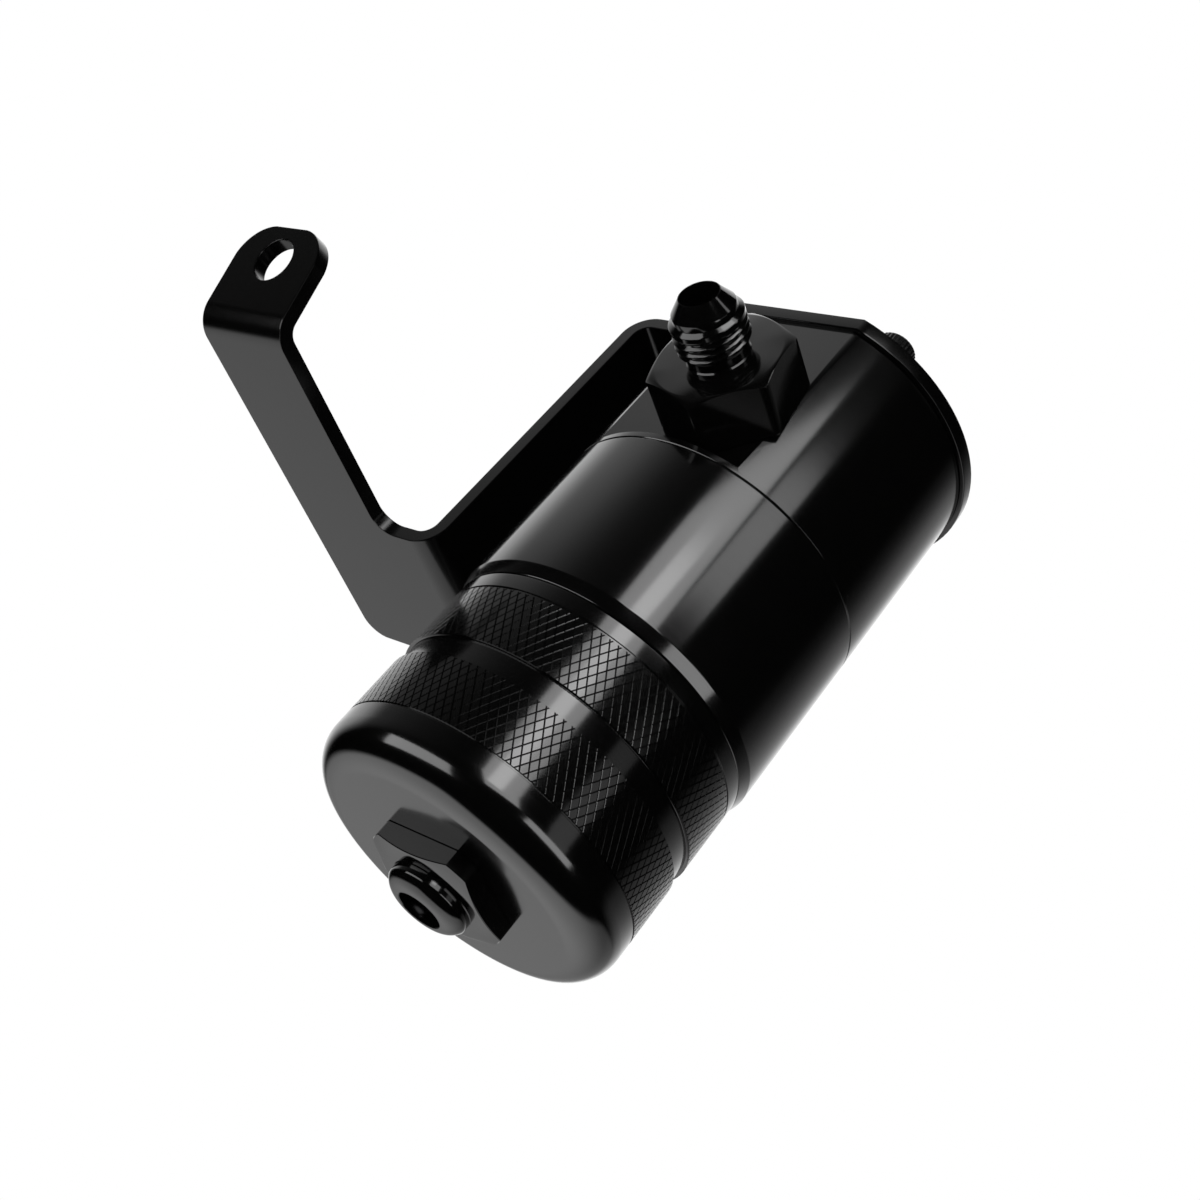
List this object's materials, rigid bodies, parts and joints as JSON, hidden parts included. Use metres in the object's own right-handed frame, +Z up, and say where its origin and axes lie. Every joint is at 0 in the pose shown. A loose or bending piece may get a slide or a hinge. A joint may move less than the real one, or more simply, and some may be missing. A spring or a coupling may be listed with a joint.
{
  "type": "oil catch can",
  "caption": "Black cylindrical oil catch can with side hose ports, knurled screw-off drain cup, drain valve and an offset bent strap bracket.",
  "frame": {"origin": "centre of the bracket's bolt hole, at mid thickness of the tab", "axes": "+Z up along the can's axis towards the bracket plate, -Y towards the inlet fitting, the can lies on the +X side of the bracket's arm"},
  "size_m": [0.1096, 0.1308, 0.1386],
  "materials": {
    "black_anodised": "satin black anodised, turned",
    "black_fitting": "satin black anodised",
    "black_bracket": "satin black anodised sheet",
    "black_oxide": "black oxide",
    "bare_aluminium": "mill finish",
    "stainless": "bright stainless",
    "wire_mesh": "knitted steel wire",
    "rubber": "matte"
  },
  "bodies": {
    "can": {"tube_body": "black_anodised", "head": "black_anodised", "head_oring": "rubber", "outlet_insert": "bare_aluminium", "inlet_fitting": "black_fitting", "inlet_oring": "rubber", "outlet_fitting": "black_fitting", "outlet_oring": "rubber", "bracket": "black_bracket", "bracket_tab": "black_bracket", "bracket_screws": "black_oxide", "outlet_tube": "bare_aluminium", "upper_disc": "stainless", "mesh_pack": "wire_mesh", "lower_disc": "stainless", "retaining_ring": "stainless"},
    "cup_gasket": {"cup_gasket": "rubber"},
    "cup": {"drain_cup": "black_anodised", "drain_valve_body": "black_fitting", "drain_valve_oring": "rubber", "drain_spring": "stainless", "spring_clip": "stainless"},
    "poppet": {"drain_poppet": "stainless", "poppet_oring": "rubber"}
  },
  "joints": [
    {"name": "cup_travel", "type": "slide", "parent": "can", "child": "cup_gasket", "axis": [0, 0, -1], "range_m": [0, 0.0121]},
    {"name": "cup_turn", "type": "hinge", "parent": "cup_gasket", "child": "cup", "pos_m": [0.06465, 0.07323, -0.06524], "axis": [0, 0, -1], "range_deg": [0, 2160]},
    {"name": "poppet_slide", "type": "slide", "parent": "cup", "child": "poppet", "axis": [0, 0, 1], "range_m": [0, 0.0025], "stiffness_N_per_m": 400, "springref_m": -0.004, "deforming": ["drain_spring"]}
  ],
  "couplings": [
    {"joint": "cup_travel", "follows": "cup_turn", "m_per_rad": 0.00031831}
  ]
}
